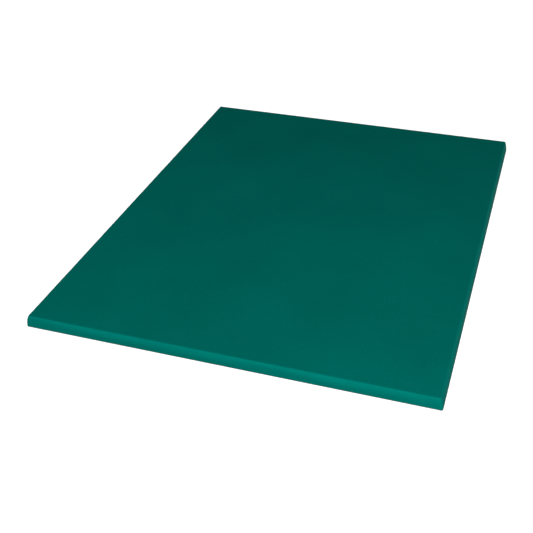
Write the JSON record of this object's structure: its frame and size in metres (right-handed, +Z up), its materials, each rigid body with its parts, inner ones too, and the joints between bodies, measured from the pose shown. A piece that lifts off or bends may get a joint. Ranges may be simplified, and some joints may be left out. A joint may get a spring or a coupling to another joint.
{
  "type": "gymnastics landing mat",
  "caption": "Flat rectangular foam landing mat in a sewn vinyl cover with a non-slip base and a zip along the back wall, laid on a floor to soften falls.",
  "frame": {"origin": "on the floor, under the middle of the mat", "axes": "+Z up; the long side lies along Y, with the plain front wall at -Y and the wall with the zip at +Y; +X to the right seen from the front"},
  "size_m": [0.915, 1.2248, 0.03],
  "materials": {
    "cover_vinyl": "satin",
    "base_vinyl": "matte",
    "firm_foam": "matte",
    "chip_foam": "matte",
    "sewing_thread": "satin",
    "zip_tape": "matte",
    "zip_coil": "satin",
    "zip_metal": "satin"
  },
  "bodies": {
    "mat": {"top_panel": "cover_vinyl", "base_panel": "base_vinyl", "front_wall": "cover_vinyl", "left_wall": "cover_vinyl", "right_wall": "cover_vinyl", "back_wall_upper": "cover_vinyl", "back_wall_lower": "cover_vinyl", "foam_top_layer": "firm_foam", "foam_base_layer": "chip_foam", "top_seam_thread": "sewing_thread", "base_seam_thread": "sewing_thread", "corner_thread_front_left": "sewing_thread", "corner_thread_front_right": "sewing_thread", "corner_thread_back_left": "sewing_thread", "corner_thread_back_right": "sewing_thread", "zip_tape_upper": "zip_tape", "zip_tape_lower": "zip_tape", "zip_coil_upper": "zip_coil", "zip_coil_lower": "zip_coil", "zip_top_stop_upper": "zip_metal", "zip_top_stop_lower": "zip_metal", "zip_bottom_stop": "zip_metal", "zip_thread_upper": "sewing_thread", "zip_thread_lower": "sewing_thread"},
    "zip_slider": {"zip_slider": "zip_metal"},
    "zip_puller": {"zip_puller": "zip_metal"}
  },
  "joints": [
    {"name": "zip_slide", "type": "slide", "parent": "mat", "child": "zip_slider", "axis": [1, 0, 0], "range_m": [-0.865, 0]},
    {"name": "puller_swing", "type": "hinge", "parent": "zip_slider", "child": "zip_puller", "pos_m": [0.4325, 0.61295, 0.015], "axis": [0, 0, -1], "range_deg": [0, 180]}
  ]
}
